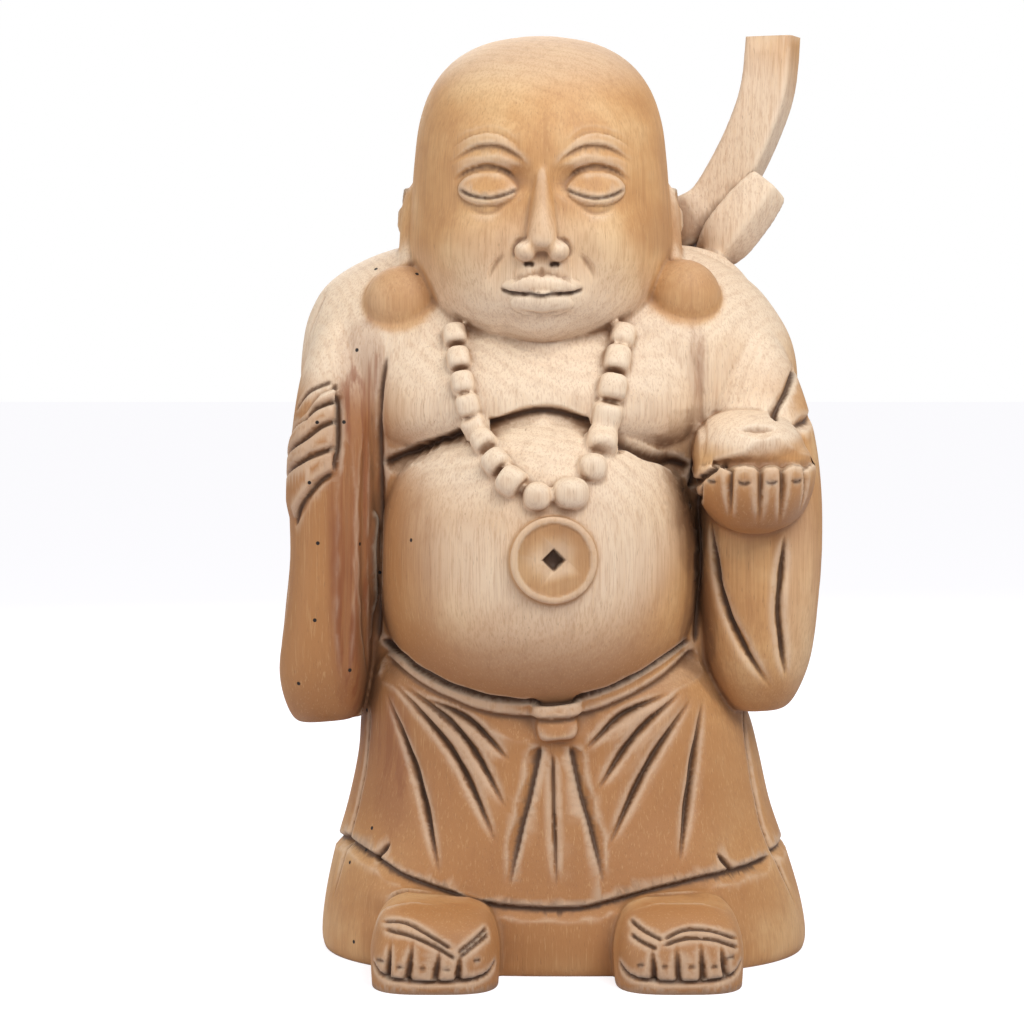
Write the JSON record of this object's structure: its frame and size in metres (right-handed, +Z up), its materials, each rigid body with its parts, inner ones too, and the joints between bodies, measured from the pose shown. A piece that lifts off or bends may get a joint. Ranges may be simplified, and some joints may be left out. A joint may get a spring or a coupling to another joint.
{
  "type": "carved buddha statue",
  "caption": "Standing wooden buddha statue with open robe, round belly, bead necklace and coin, sandalled feet, and a sack whose tied cloth ends rise over one shoulder.",
  "frame": {"origin": "middle of the statue's bounding box, on the floor it stands on", "axes": "+Z up, -Y the way the figure faces, +X towards the shoulder with the cloth ends"},
  "size_m": [0.3518, 0.3418, 0.602],
  "materials": {
    "wood": "sanded bare hardwood"
  },
  "bodies": {
    "root": {"buddha_statue": "wood"}
  },
  "joints": []
}
